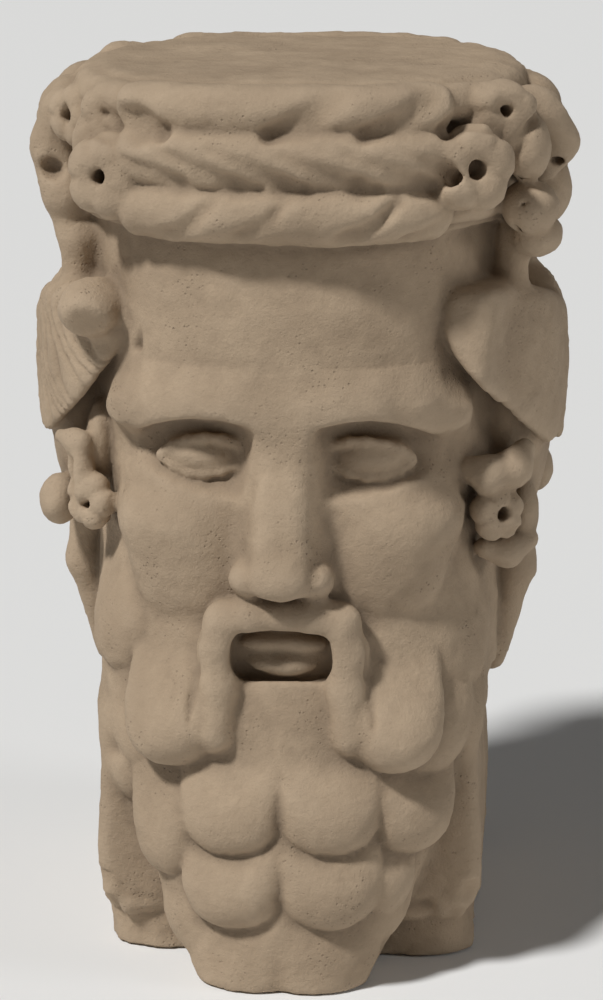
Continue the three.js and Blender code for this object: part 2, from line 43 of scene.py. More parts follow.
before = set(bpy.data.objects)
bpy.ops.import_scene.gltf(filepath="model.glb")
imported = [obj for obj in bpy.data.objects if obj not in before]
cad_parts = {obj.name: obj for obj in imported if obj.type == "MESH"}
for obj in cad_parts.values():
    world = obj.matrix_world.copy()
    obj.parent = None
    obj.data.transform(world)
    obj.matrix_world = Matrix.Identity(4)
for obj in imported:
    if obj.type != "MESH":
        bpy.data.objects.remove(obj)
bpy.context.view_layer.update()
SOLID = "janus_head"
MM = 0.001

# Places on the face, from the thirds and fifths of the drawing-book head
HEIGHT = 409
HAIRLINE = 341
THIRD = 79
BROW = HAIRLINE - THIRD
NOSE_BASE = BROW - THIRD
MOUTH = NOSE_BASE - THIRD / 3
EYE = 34.8
EYE_LINE = BROW - 19

# A shape: the box it fills, and its field, a function of x, d and z that is negative inside.
Shape = namedtuple("Shape", "low high field")
FAR = 1000.0


def soften(a, b, k):
    """The lesser of two values, run together with a fillet of size k."""
    near = np.maximum(k - np.abs(a - b), 0)
    return np.minimum(a, b) - near * near / (4 * np.maximum(k, 1e-3))


def rounded(a, b, k):
    """The greater of two values, with the edge between them rounded by k."""
    return -soften(-a, -b, k)


def egg(middle, half, lean=0.0):
    """An ellipsoid. With a lean its lower half stands out further."""
    reach = (half[0], half[1] + abs(lean) * half[2], half[2])

    def field(x, d, z):
        u = (x - middle[0]) / half[0]
        w = (z - middle[2]) / half[2]
        v = (d - middle[1] + lean * (z - middle[2])) / half[1]
        near = np.sqrt(u * u + v * v + w * w + 1e-6)
        slope = np.sqrt((u / half[0]) ** 2 + (v / half[1]) ** 2 + (w / half[2]) ** 2 + 1e-10)
        return near * (near - 1) / slope

    return Shape([m - r for m, r in zip(middle, reach)], [m + r for m, r in zip(middle, reach)], field)


def lock(k, *stops):
    """A round bar through stops of (x, d, z, radius)."""
    low = [min(s[i] - s[3] for s in stops) for i in range(3)]
    high = [max(s[i] + s[3] for s in stops) for i in range(3)]

    def field(x, d, z):
        whole = None
        for a, b in zip(stops, stops[1:]):
            e = [b[i] - a[i] for i in range(3)]
            p = (x - a[0], d - a[1], z - a[2])
            along = (p[0] * e[0] + p[1] * e[1] + p[2] * e[2]) / sum(v * v for v in e)
            t = np.clip(along, 0, 1)
            off = np.sqrt((p[0] - t * e[0]) ** 2 + (p[1] - t * e[1]) ** 2 + (p[2] - t * e[2]) ** 2)
            span = off - a[3] - t * (b[3] - a[3])
            whole = span if whole is None else soften(whole, span, k)
        return whole

    return Shape(low, high, field)


def mirrored(shape):
    return Shape(
        [-shape.high[0], shape.low[1], shape.low[2]],
        [-shape.low[0], shape.high[1], shape.high[2]],
        lambda x, d, z: shape.field(-x, d, z),
    )



def faceted(k, low, high, faces):
    """A block with a flat face for each (x, d, z, and its outward direction), its edges rounded by k."""

    def field(x, d, z):
        whole = None
        for px, pd, pz, *out in faces:
            long = math.hypot(*out)
            n = [v / long for v in out]
            off = (x - px) * n[0] + (d - pd) * n[1] + (z - pz) * n[2]
            whole = off if whole is None else rounded(whole, off, k)
        return whole

    return Shape(low, high, field)


def between(table, z):
    """Values by height, from rows of (z, value, ...), eased at each row."""
    rows = np.array(sorted(table), np.float32)
    z = np.asarray(z, np.float32)
    n = np.clip(np.searchsorted(rows[:, 0], z) - 1, 0, len(rows) - 2)
    a, b = rows[n], rows[n + 1]
    t = np.clip((z - a[..., 0]) / (b[..., 0] - a[..., 0]), 0, 1)
    s = t * t * (3 - 2 * t) * 0.4 + t * 0.6
    return [a[..., i] + s * (b[..., i] - a[..., i]) for i in range(1, rows.shape[1])]


def outside(x, y, a, b, square=2.6):
    """How far a plan point lies outside a squarish oval with half-axes a and b."""
    k = (np.abs(x / a) ** square + np.abs(y / b) ** square) ** (1 / square)
    return np.sqrt(x * x + y * y + 1e-6) * (1 - 1 / np.maximum(k, 1e-4))


class Clay:
    """The stone in the making: its field on every node of a grid, in the order z, d, x."""

    LOW = (-142.0, -142.0, -8.0)
    HIGH = (142.0, 142.0, 417.0)

    def __init__(self, cell):
        self.cell = cell
        middle = [(a + b) / 2 for a, b in zip(self.LOW, self.HIGH)]
        steps = [math.ceil((b - a) / cell / 2) for a, b in zip(self.LOW, self.HIGH)]
        self.axes = [
            (m + cell * np.arange(-n, n + 1)).astype(np.float32) for m, n in zip(middle, steps)
        ]
        self.value = np.full([len(a) for a in reversed(self.axes)], FAR, np.float32)

    def part(self, low, high, margin):
        """The block of nodes that a box touches, and their x, d and z."""
        spans = [
            slice(*np.searchsorted(axis, (a - margin, b + margin)))
            for axis, a, b in zip(self.axes, low, high)
        ]
        x, d, z = [axis[span] for axis, span in zip(self.axes, spans)]
        return tuple(reversed(spans)), x[None, None, :], d[None, :, None], z[:, None, None]

    def nodes(self):
        """The x, d and z of every node."""
        x, d, z = self.axes
        return x[None, None, :], d[None, :, None], z[:, None, None]

    def press(self, shape, k, rule):
        """Runs rule(value, field, fillet) over a shape's nodes. The fillet k may change with x and z."""
        fillet = (lambda x, z: k) if np.isscalar(k) else k
        block, x, d, z = self.part(shape.low, shape.high, max(8, 2 * self.cell))
        here = shape.field(x, d, z)
        self.value[block] = rule(self.value[block], here, fillet(x, z))

    def add(self, shape, k):
        self.press(shape, k, soften)

    def carve(self, shape, k):
        self.press(shape, k, lambda a, b, fillet: -soften(-a, b, fillet))

    def add_pair(self, shape, k):
        self.add(shape, k)
        self.add(mirrored(shape), k)

    def carve_pair(self, shape, k):
        self.carve(shape, k)
        self.carve(mirrored(shape), k)


def noise(x, d, z, spacing, seed):
    """Smooth random values from -1 to 1 at the nodes of a block."""
    draw = np.random.default_rng(seed)
    lattice = draw.uniform(-1, 1, [int(900 / spacing) + 2] * 3).astype(np.float32)
    for axis in (z, d, x):
        place = (axis.ravel() + 300) / spacing
        at = np.floor(place).astype(int)
        t = place - at
        t = t * t * (3 - 2 * t)
        weights = np.zeros((len(place), lattice.shape[0]), np.float32)
        weights[np.arange(len(place)), at] = 1 - t
        weights[np.arange(len(place)), at + 1] = t
        lattice = np.moveaxis(np.tensordot(weights, lattice, 1), 0, -1)
    return lattice


# The skin by height: half breadth, middle and front.
SKIN = [
    (350, 84, 10, 99),
    (HAIRLINE, 85, 10, 100),
    (300, 86, 10, 104),
    (BROW, 86, 12, 106),
    (225, 84, 20, 99),
    (NOSE_BASE, 80, 24, 97),
    (130, 70, 26, 97),
    (60, 50, 30, 92),
]


def lay_skin(clay):
    def field(x, d, z):
        half, middle, front = between(SKIN, z)
        return outside(x, d - middle, half, front - middle)

    clay.add(Shape((-100, -75, 0), (100, 112, 352), field), 8)


def brow_arch(x):
    """Height of the edge of the brow, an even arch over the eye."""
    return BROW - 1 - 0.0075 * (x - EYE - 4) ** 2


def lay_brows(clay):
    ridge = [(x, d, brow_arch(x) + 8, 8) for x, d in ((12, 96), (24, 96), (38, 93), (54, 86), (72, 72))]
    clay.add_pair(lock(6, *ridge), 15)

    def socket(x, d, z):
        roof = z - brow_arch(x) - 0.25 * (d - 96)
        back = 85 - 0.3 * (x - EYE) - 0.004 * (x - EYE) ** 2 - d
        whole = rounded(roof, back, 7)
        whole = rounded(whole, 13 + 0.3 * (100 - d) - x, 7)
        return rounded(whole, EYE_LINE - 15 - z - 0.7 * (d - 92), 8)

    clay.carve_pair(Shape((8, 50, 216), (104, 140, BROW + 6), socket), 1.5)
    temple = ((EYE + 26, 98, EYE_LINE, 11), (84, 74, EYE_LINE - 2, 13), (112, 46, EYE_LINE - 5, 14))
    clay.carve_pair(lock(4, *temple), 3)
    clay.add_pair(egg((48, 72, 211), (29, 27, 18)), 12)
    clay.add_pair(egg((38, 80, 190), (30, 20, 30)), 14)


def lid(up, tall, thick):
    """Half an almond round an eye, along the lid: up is 1 for the upper lid and -1 for the lower."""
    stops = []
    for i in range(9):
        across = math.cos(math.pi * i / 8)
        rise = (1 - across * across) ** 0.8 * tall * up
        x = EYE + 1 + 20 * across
        d = 90 - 6 * across * across - 0.12 * (x - EYE)
        stops.append((x, d, EYE_LINE - 1 + rise - 1.5 * across, thick))
    return lock(1.5, *stops)


def lay_eyes(clay):
    clay.add_pair(egg((EYE + 1, 76, EYE_LINE - 1), (20, 17, 12)), 2)
    clay.add_pair(lid(1, 8.5, 2.6), 1.2)
    clay.add_pair(lid(-1, 8, 2.1), 1.2)


def lay_nose(clay):
    def wedge(x, d, z):
        t = np.clip((BROW + 4 - z) / (THIRD - 8), 0, 1)
        front = 99 + 27 * t**0.8
        half = 8 + 2.5 * t + 0.42 * (front - d)
        ridge = rounded(np.abs(x) - half, d - front, 6)
        return rounded(ridge, NOSE_BASE + 3 + 0.1 * (d - 112) - z, 5)

    clay.add(Shape((-34, 70, NOSE_BASE - 4), (34, 130, BROW + 14), wedge), 8)
    clay.add(egg((0, 116, NOSE_BASE + 12), (11, 11, 10)), 5)
    clay.add_pair(egg((15.5, 108, NOSE_BASE + 9), (8, 12, 8.5)), 3.5)
    clay.carve_pair(egg((7, 118, NOSE_BASE + 1), (4.5, 7, 3.5)), 1.5)


# The mass of the beard by height: half breadth, middle and front. It leans forward to a blunt tip.
BEARD = [
    (196, 84, 30, 89),
    (160, 88, 30, 103),
    (118, 88, 36, 112),
    (88, 77, 52, 116),
    (58, 64, 68, 118),
    (30, 53, 78, 119),
    (0, 38, 84, 116),
]


def beard_mass(x, d, z):
    half, middle, front = between(BEARD, z)
    return outside(x, d - middle, half, front - middle, 2.4)


def lay_beard(clay):
    def field(x, d, z):
        above = z - 167 - np.maximum(0, np.abs(x) - 60) * 1.1
        return rounded(beard_mass(x, d, z), above, 4)

    def fillet(x, z):
        return np.where(x > 0, 6, 1.5)

    clay.add(Shape((-100, -30, -8), (100, 122, 220), field), fillet)


def curl(way, z, turn, foot, wide, long, proud):
    """How far a curl stands out of the beard: it swells from a flush top to a rounded, scalloped foot."""
    u = np.clip((way - turn) / wide, -1, 1)
    side = np.sqrt(1 - u * u)
    up = z - foot - 0.9 * wide * (1 - side)
    under = 1 - np.clip(up / BELLY, 0, 1)
    over = np.clip((up - BELLY) / (long - BELLY), 0, 1)
    return proud * side * np.sqrt(1 - under * under) * (0.5 + 0.5 * np.cos(math.pi * over))


BELLY = 15  # height of the fullest part of a curl over its foot

# Rows of curls from the tip up to the cheeks, as (turn, foot, half width, length, proud), where turn
# is the way round from the middle line.
CURL_ROWS = [
    [(-50, 6, 19, 50, 6), (-21, -14, 24, 60, 8), (20, -12, 24, 58, 8), (48, 18, 17, 36, 5)],
    [(-19, 30, 20.5, 50, 12), (19, 31, 20.5, 50, 12), (44, 33, 14, 40, 8)],
    [
        (-82, 76, 13, 34, 8),
        (-52, 49, 18, 66, 10),
        (-20, 65, 21, 54, 12),
        (19, 66, 21, 54, 12),
        (57, 61, 21, 50, 13),
    ],
    [(-97, 84, 17, 52, 8), (-72, 96, 17, 44, 5), (64, 98, 25, 54, 9), (92, 96, 16, 50, 6)],
    [(-84, 138, 26, 60, 8), (88, 132, 28, 64, 5)],
    [(-45, 104, 20, 60, 19), (45, 103, 20, 60, 19)],
]


def lay_curls(clay):
    def field(x, d, z):
        half, middle, front = between(BEARD, z)
        mean = (half + front - middle) / 2
        way = mean * np.arctan2(x / half, np.maximum(d - middle, 1) / (front - middle))
        height = 0
        for row in CURL_ROWS:
            low = min(drop[1] for drop in row)
            high = max(drop[1] + 1.1 * drop[2] + drop[3] for drop in row)
            here = (z[:, 0, 0] > low) & (z[:, 0, 0] < high)
            rise = np.zeros(way.shape, np.float32)
            for drop in row:
                rise[here] = -soften(-rise[here], -curl(way[here], z[here], *drop), 3)
            height = np.maximum(height, rise)
        return beard_mass(x, d, z) - height

    clay.add(Shape((-104, 30, -8), (104, 140, 200), field), 3)


def lay_moustache(clay):
    recess = [
        (0, 97, 156, 0, -1, 0),
        (0, 98, 171, 0, 0.1, 1),
        (0, 98, 140, 0, 0.5, -1),
        (24, 98, 156, 1, 0.08, 0.05),
        (-24, 98, 156, -1, 0.08, 0.05),
    ]
    band = (
        (0, 108, NOSE_BASE - 9, 8),
        (14, 109, NOSE_BASE - 8, 9),
        (25, 107, NOSE_BASE - 12, 9.5),
        (29, 107, NOSE_BASE - 24, 9),
        (29, 108, NOSE_BASE - 42, 9),
        (31, 110, NOSE_BASE - 62, 10),
    )
    clay.add_pair(lock(4, *band), 3)
    parting = (
        (38.5, 107, NOSE_BASE - 6, 3),
        (39.5, 110, NOSE_BASE - 34, 3),
        (41, 119, NOSE_BASE - 56, 1),
    )
    clay.carve_pair(lock(3, *parting), 1.5)
    clay.carve(faceted(9, (-26, 90, 138), (26, 135, 172), recess), 2)
    clay.add(egg((0, 90, MOUTH - 1), (27, 13, 14)), 4)
    clay.add(egg((0, 101, MOUTH - 6), (15, 6, 5)), 3)
    clay.add_pair(egg((7, 100, MOUTH + 3.5), (13, 5.5, 4)), 1.2)


def side_hair(groove, wide):
    """The hair over one ear, back to the middle of the side. Its lower edge slants."""
    edge = Vector((-1.5, -0.2, -1)).normalized()
    start = edge.dot(Vector((71, 80, 291)))

    def field(x, d, z):
        lay = (0.9 * d + 0.42 * z + 4 * np.sin(z / 14) + 3 * np.sin(z / 5 + d / 9)) * math.pi / wide
        cap = outside(x, d, 123 - 0.0016 * (z - 268) ** 2, 92, 2.15)
        whole = cap + groove * (1 - np.sqrt(np.abs(np.cos(lay))))
        whole = rounded(whole, edge.x * x + edge.y * d + edge.z * z - start, 6)
        whole = rounded(whole, z - 313 + 0.0035 * (d - 60) ** 2, 10)
        whole = rounded(whole, 218 + 0.25 * np.maximum(d, 0) - z, 8)
        return np.maximum(whole, np.maximum(-8 - d, 60 - x))

    return Shape((60, -10, 210), (126, 92, 318), field)


def lay_hair(clay):
    blunt = [
        (80, 83, 303, 0.1, 1, 0.25),
        (68, 78, 303, -1, 0.1, 0.1),
        (84, 70, 316, 0.05, 0, 1),
        (94, 70, 303, 1, 0.35, 0),
        (72, 80, 290, -1.3, 0, -1),
        (80, 40, 303, 0, -1, 0),
    ]
    clay.add_pair(egg((97, 6, 240), (19, 36, 42)), 6)
    clay.add(side_hair(0.5, 15), 2)
    clay.add(faceted(7, (62, 38, 270), (100, 88, 320), blunt), 3)
    clay.add(mirrored(side_hair(2.2, 6.5)), 2)
    facet = [(-85, 84, 303, 0.1, -1, 0.55), (-85, 84, 311, 0, 0, 1), (-85, 84, 288, 0, 0, -1)]
    clay.add(egg((-88, 66, 304), (15, 22, 13)), 4)
    clay.carve(faceted(2, (-100, 60, 286), (-72, 100, 312), facet), 2)
    clay.add(egg((-88, 42, 238), (8, 15, 19)), 2)


def flower(middle, size, hole, face, petals=5):
    """A flower that looks along face: a ring of petals round a drilled hole."""
    n = Vector(face).normalized()
    side = Vector((0, 0, 1)).cross(n).normalized()
    up = n.cross(side)
    reach = size * 1.15

    def field(x, d, z):
        p = (x - middle[0], d - middle[1], z - middle[2])
        u = p[0] * side.x + p[1] * side.y + p[2] * side.z
        v = p[0] * up.x + p[1] * up.y + p[2] * up.z
        w = p[0] * n.x + p[1] * n.y + p[2] * n.z
        flat = np.sqrt(u * u + v * v + 1e-6)
        part = petals * np.arctan2(v, u) + middle[0]
        ring = np.sqrt((flat - size * 0.52 * (1 + 0.05 * np.cos(part))) ** 2 + w * w) - size * 0.5
        heart = np.sqrt(flat * flat + (w * 1.3) ** 2) - size * 0.6
        crease = 1.3 * np.sin(part / 2) ** 16 * np.clip(flat / size * 2 - 0.4, 0, 1)
        drill = np.maximum(flat - hole, -w - size * 0.25)
        return -soften(-soften(ring, heart, 3) - crease, drill, 1.5)

    return Shape([m - reach for m in middle], [m + reach for m in middle], field)


# Flowers as (x, d, z, size, hole), which look away from the axis of the head.
FLOWERS = [
    (80, 90, 372, 19, 4.2),
    (91, 68, 394, 18, 3),
    (108, 12, 381, 17, 3),
    (-78, 86, 366, 18.5, 3.8),
    (-76, 74, 393, 15, 2.6),
    (-97, 48, 387, 14, 3),
    (-108, 12, 360, 18, 3),
    (93, 58, 211, 13, 3.6),
    (-91, 60, 213, 13, 2.8),
]

# Buds without a hole, as (middle, half-axes).
BUDS = [
    ((105, 56, 350), (13, 15, 12)),
    ((108, 44, 336), (12, 16, 10)),
    ((110, 12, 352), (14, 18, 18)),
    ((104, 58, 376), (10, 14, 15)),
    ((-106, 14, 388), (13, 17, 14)),
    ((-107, 18, 362), (13.5, 20, 17)),
    ((104, 34, 205), (8, 14, 16)),
    ((-109, 38, 208), (9.5, 14, 12)),
]

# Petals and other thin forms, as stops of a lock.
PETALS = [
    ((98, 46, 390, 11), (109, 36, 389, 13), (114, 30, 376, 12), (110, 30, 366, 9)),
    ((-104, 34, 388, 11), (-109, 30, 370, 11), (-104, 34, 350, 11)),
    ((-106, 48, 240, 3.6), (-100, 54, 240, 4), (-96, 57, 239, 4.4), (-96, 58, 228, 4.8), (-94, 60, 218, 6)),
    ((80, 62, 232, 5), (88, 62, 229, 7.5), (100, 54, 230, 8), (105, 48, 238, 5)),
    ((88, 54, 193, 5), (98, 50, 190, 6.5), (106, 42, 194, 6)),
]

# Stays left between the flowers and the hair below them.
STAYS = [
    ((98, 40, 336, 7), (97, 38, 306, 8)),
    ((-104, 25, 348, 12), (-98, 32, 330, 9), (-98, 32, 300, 9)),
]

# Furrows and holes between the flowers and petals, as stops of a lock.
FURROWS = [
    ((66, 102, 392, 1.6), (76, 100, 392, 2), (88, 92, 389, 2), (98, 80, 382, 2.4)),
    ((112, 50, 400, 1.6), (106, 66, 390, 2.4), (98, 80, 380, 3)),
    ((122, 22, 371, 2), (114, 44, 366, 2.6), (102, 62, 366, 2.6)),
    ((96, 88, 362, 2.2), (106, 68, 364, 2)),
    ((94, 70, 341, 2), (108, 52, 342, 2), (120, 28, 344, 2)),
    ((118, 30, 392, 1), (122, 16, 372, 1.6)),
    ((100, 72, 352, 0.8), (112, 56, 356, 1.4)),
    ((64, 100, 371, 2.6), (60, 102, 368, 2.2)),
    ((94, 82, 399, 2.4), (92, 78, 396, 3)),
    ((-88, 80, 385, 2.4), (-77, 92, 385, 3), (-66, 99, 383, 3.4)),
    ((-105, 44, 390, 0.8), (-108, 44, 366, 1.6)),
    ((-100, 52, 392, 0.6), (-102, 54, 368, 1.4)),
    ((-76, 86, 399, 1.6), (-74, 84, 396, 2.8)),
    ((-110, 40, 362, 5), (-98, 60, 358, 6), (-94, 62, 350, 5)),
    ((-100, 60, 232, 2), (-101, 62, 202, 3)),
    ((80, 70, 224, 3.2), (80, 62, 220, 3)),
    ((108, 56, 222, 2.4), (104, 50, 218, 2.4)),
    ((82, 74, 202, 2.4), (92, 68, 201, 2.8), (102, 58, 203, 2.2)),
]


def lay_flowers(clay):
    for middle, half in BUDS:
        clay.add(egg(middle, half), 2)
    for stops in PETALS:
        clay.add(lock(5, *stops), 2)
    for stops in STAYS:
        clay.add(lock(6, *stops), 5)
    clay.add(egg((80, 66, 378), (16, 18, 20)), 4)
    clay.add(egg((-80, 64, 376), (16, 18, 20)), 4)
    for x, d, z, size, hole in FLOWERS:
        clay.add(flower((x, d, z), size, hole, (x * 0.6, d + 24, 3)), 2)
    for stops in FURROWS:
        clay.carve(lock(3, *stops), 2)


# The band: three rolls round the head, as (middle, radius, depth), each twisted like a rope.
ROLLS = [(353, 13.5, 103), (377, 14.5, 104), (398, 13.5, 101)]
ROLL_END = 58  # along the band from the middle line to the flowers

# Grooves between the strands, as the roll and stops of (way round from the middle line, z, radius).
GROOVES = [
    (0, (-40, 343, 5), (-32, 348, 4), (-24, 360, 2)),
    (0, (-14, 343, 5), (-6, 349, 4), (2, 360, 2)),
    (0, (22, 342, 5), (32, 349, 4), (42, 360, 2)),
    (0, (46, 341, 4), (56, 347, 2), (64, 354, 2)),
    (1, (-60, 377, 1), (-46, 370, 4), (-36, 366, 5)),
    (1, (-44, 382, 1), (-28, 372, 4.4), (-16, 366, 5), (-8, 365, 3)),
    (1, (-24, 383, 1), (-10, 373, 4.6), (1, 366, 5), (8, 365, 3)),
    (1, (-2, 382, 1), (14, 372, 4.8), (27, 366, 5), (34, 365, 3)),
    (1, (22, 381, 1), (38, 372, 4.6), (50, 366, 5), (56, 365, 3)),
    (1, (44, 381, 1), (56, 372, 4.4), (66, 366, 4)),
    (2, (-60, 392, 8), (-52, 391, 9), (-44, 388, 5)),
    (2, (-4, 388, 4), (10, 395, 8), (19, 405, 8)),
    (2, (30, 388, 4), (45, 395, 7), (55, 404, 7)),
    (2, (60, 388, 4), (70, 394, 5)),
]


def on_roll(roll, way, z, lift):
    """The point over a roll's surface at a way round from the middle line and a height."""
    middle, radius, depth = ROLLS[roll]
    turn = way / 96
    k = (abs(math.sin(turn) / 94) ** 2.6 + (math.cos(turn) / depth) ** 2.6) ** (-1 / 2.6)
    out = k + lift + math.sqrt(max(radius**2 - (z - middle) ** 2, 1))
    return out * math.sin(turn), out * math.cos(turn), z


def lay_band(clay):
    box = ((-118, -10, 336), (118, 126, 415))

    def inner(x, d, z):
        return np.maximum(outside(x, d, 97, 96), 342 - z)

    clay.add(Shape(*box, inner), 4)
    for n, (middle, radius, depth) in enumerate(ROLLS):

        def field(x, d, z, middle=middle, radius=radius, depth=depth, n=n):
            out = outside(x, d, 94, depth)
            rise = z - middle
            up = np.where((rise > 0) & (n == 2), rise * 0.5, rise)
            end = np.clip((np.abs(np.arctan2(x, d)) * 96 - ROLL_END) / 8, 0, 1)
            swell = 0.9 * noise(x, d, z, 23, 11 + n) + 0.5 * noise(x, d, z, 9, 21 + n)
            return np.sqrt(out * out + up * up) - radius * (1 - 0.45 * end * end) - swell

        clay.add(Shape((-118, -10, middle - 20), (118, 126, middle + 22), field), 2.2)
    for roll, *stops in GROOVES:
        line = [(*on_roll(roll, way, z, radius * 0.65), radius) for way, z, radius in stops]
        clay.carve(lock(3, *line), 3)


def lay_core(clay):
    everywhere = (-FAR, -FAR, -FAR), (FAR, FAR, FAR)

    def skull(x, y, z):
        narrower = 8 * np.clip((230 - z) / 90, 0, 1)
        return np.maximum(outside(x, y, 91 - narrower, 82, 2.8), np.maximum(60 - z, z - 352))

    def block(x, y, z):
        flare = np.where(z > 50, (z - 50) * -0.05, (z - 50) * 0.03)
        bx = np.abs(x) - 82 - flare
        by = np.abs(y) - 71
        side = np.sqrt(np.maximum(bx, 0) ** 2 + np.maximum(by, 0) ** 2)
        side = side + np.minimum(np.maximum(bx, by), 0) - 7
        return rounded(side, z - 124, 16)

    def wall(x, y, z):
        return np.maximum(outside(x, y, 94, 54, 4), np.maximum(130 - z, z - 352))

    clay.add(Shape(*everywhere, skull), 6)
    clay.add(Shape(*everywhere, wall), 6)
    clay.add(Shape((-FAR, -FAR, -FAR), (FAR, FAR, 140), block), 6)
    for y in (-11, 0, 11):
        stops = ((96, y, 240, 12), (99, y * 1.2, 205, 9), (101, y, 172, 9), (91, y * 0.6, 138 - abs(y), 7))
        clay.add_pair(lock(6, *stops), 2)


UNDERSIDE = 0.7  # left under the carving, so that its wear doesn't sink into the floor


def carve_stone(cell):
    """The whole stone: one face, the same turned half round, and what lies between them."""
    face = Clay(cell)
    for step in (lay_skin, lay_brows, lay_eyes, lay_nose, lay_beard, lay_curls, lay_moustache):
        step(face)
    for step in (lay_hair, lay_flowers, lay_band):
        step(face)
    stone = Clay(cell)
    lay_core(stone)
    both = soften(face.value[:, ::-1, :], face.value[:, :, ::-1], 5)
    stone.value = soften(both, stone.value, 5)

    stone.value += 0.35 * noise(*stone.nodes(), 17, 31) + 0.25 * noise(*stone.nodes(), 8, 32)

    def broken(x, y, z):
        worn = 2.2 * noise(x, y, z, 16, 41) + 1.5 * noise(x, y, z, 7, 42)
        return outside(x, y, 87, 76, 9) + 2 + worn * 0.8 - np.clip((z - 19 - worn * 2.5) * 0.6, 0, 9)

    stone.press(Shape((-FAR, -72, -FAR), (FAR, 72, 32), broken), 1.5, rounded)

    def dressed(x, y, z):
        fall = 6 * (np.clip(outside(x, y, 92, 106, 6), 0, 40) / 18) ** 2
        return z - HEIGHT + 1 + fall + noise(x, y, z, 24, 5) * 0.9 + noise(x, y, z, 9, 6) * 0.5

    top = Shape((-FAR, -FAR, 370), (FAR, FAR, FAR), dressed)
    stone.press(top, 11, rounded)
    base = Shape((-FAR, -FAR, -FAR), (FAR, FAR, 20), lambda x, y, z: UNDERSIDE - z)
    stone.press(base, 0, rounded)
    return stone


def draw_skin(clay):
    """Points and four-sided faces of the surface of the stone, in millimetres."""
    value, cell = clay.value, clay.cell
    inside = value < 0
    corners = [(i, j, k) for k in (0, 1) for j in (0, 1) for i in (0, 1)]
    nz, ny, nx = [n - 1 for n in value.shape]

    def shifted(array, i, j, k):
        return array[k : nz + k, j : ny + j, i : nx + i]

    count = sum(shifted(inside, *c).astype(np.int8) for c in corners)
    mixed = (count > 0) & (count < 8)
    label = np.full(mixed.shape, -1, np.int32)
    z, y, x = np.nonzero(mixed)
    label[z, y, x] = np.arange(len(x))
    at = {c: value[z + c[2], y + c[1], x + c[0]] for c in corners}
    total = np.zeros((len(x), 3), np.float32)
    hits = np.zeros(len(x), np.float32)
    for a in corners:
        for axis in range(3):
            if a[axis]:
                continue
            b = tuple(v + (n == axis) for n, v in enumerate(a))
            crossed = (at[a] < 0) != (at[b] < 0)
            gap = np.where(crossed, at[a] - at[b], 1)
            t = np.where(crossed, at[a] / gap, 0)
            for n in range(3):
                total[:, n] += crossed * (a[n] + (t if n == axis else 0))
            hits += crossed
    points = total / hits[:, None] + np.stack([x, y, z], 1)
    start = np.array([axis[0] for axis in clay.axes], np.float32)
    faces = []
    for axis in range(3):
        step = [0, 0, 0]
        step[2 - axis] = 1
        near = inside[tuple(slice(0, n - s) for n, s in zip(inside.shape, step))]
        far = inside[tuple(slice(s, None) for s in step)]
        kz, ky, kx = np.nonzero(near != far)
        other = [n for n in range(3) if n != axis]
        ring = []
        for p, q in ((0, 0), (1, 0), (1, 1), (0, 1)):
            back = [0, 0, 0]
            back[other[0]], back[other[1]] = p, q
            ring.append(label[kz - back[2], ky - back[1], kx - back[0]])
        quad = np.stack(ring, 1)
        flip = near[kz, ky, kx] == (axis != 1)
        quad[~flip] = quad[~flip][:, ::-1]
        faces.append(quad)
    return points * cell + start, np.concatenate(faces)


def blur(value, reach):
    """Means over a cube of nodes that reaches so many nodes each way."""
    for axis in range(3):
        ends = [(0, 0)] * 3
        ends[axis] = (reach + 1, reach)
        sums = np.cumsum(np.pad(value, ends, mode="edge"), axis=axis, dtype=np.float32)
        take = [slice(None)] * 3
        take[axis] = slice(2 * reach + 1, None)
        drop = list(take)
        drop[axis] = slice(0, -2 * reach - 1)
        value = (sums[tuple(take)] - sums[tuple(drop)]) / (2 * reach + 1)
    return value


def sample(clay, value, points):
    """Values between the nodes of the grid, at points in millimetres."""
    start = np.array([axis[0] for axis in clay.axes])
    place = (points - start) / clay.cell
    at = np.floor(place).astype(int)
    t = place - at
    total = 0
    for k in (0, 1):
        for j in (0, 1):
            for i in (0, 1):
                share = abs(1 - i - t[:, 0]) * abs(1 - j - t[:, 1]) * abs(1 - k - t[:, 2])
                total = total + share * value[at[:, 2] + k, at[:, 1] + j, at[:, 0] + i]
    return total


def mesh_of(name, points, faces):
    mesh = bpy.data.meshes.new(name)
    mesh.vertices.add(len(points))
    mesh.vertices.foreach_set("co", np.ascontiguousarray(points * MM, np.float32).ravel())
    mesh.loops.add(faces.size)
    mesh.loops.foreach_set("vertex_index", faces.ravel().astype(np.int32))
    mesh.polygons.add(len(faces))
    mesh.polygons.foreach_set("loop_start", np.arange(len(faces), dtype=np.int32) * 4)
    mesh.update(calc_edges=True)
    return mesh


class Tree:
    """Adds nodes to a node tree by name, with their inputs as values or as links."""

    def __init__(self, tree):
        self.tree = tree

    def add(self, kind, inputs=None, **settings):
        made = self.tree.nodes.new(kind)
        for key, value in settings.items():
            setattr(made, key, value)
        for key, value in (inputs or {}).items():
            socket = made.inputs[key]
            if isinstance(value, bpy.types.NodeSocket):
                self.tree.links.new(value, socket)
            else:
                socket.default_value = value
        return made

    def maths(self, operation, *values):
        return self.add("ShaderNodeMath", dict(enumerate(values)), operation=operation).outputs[0]


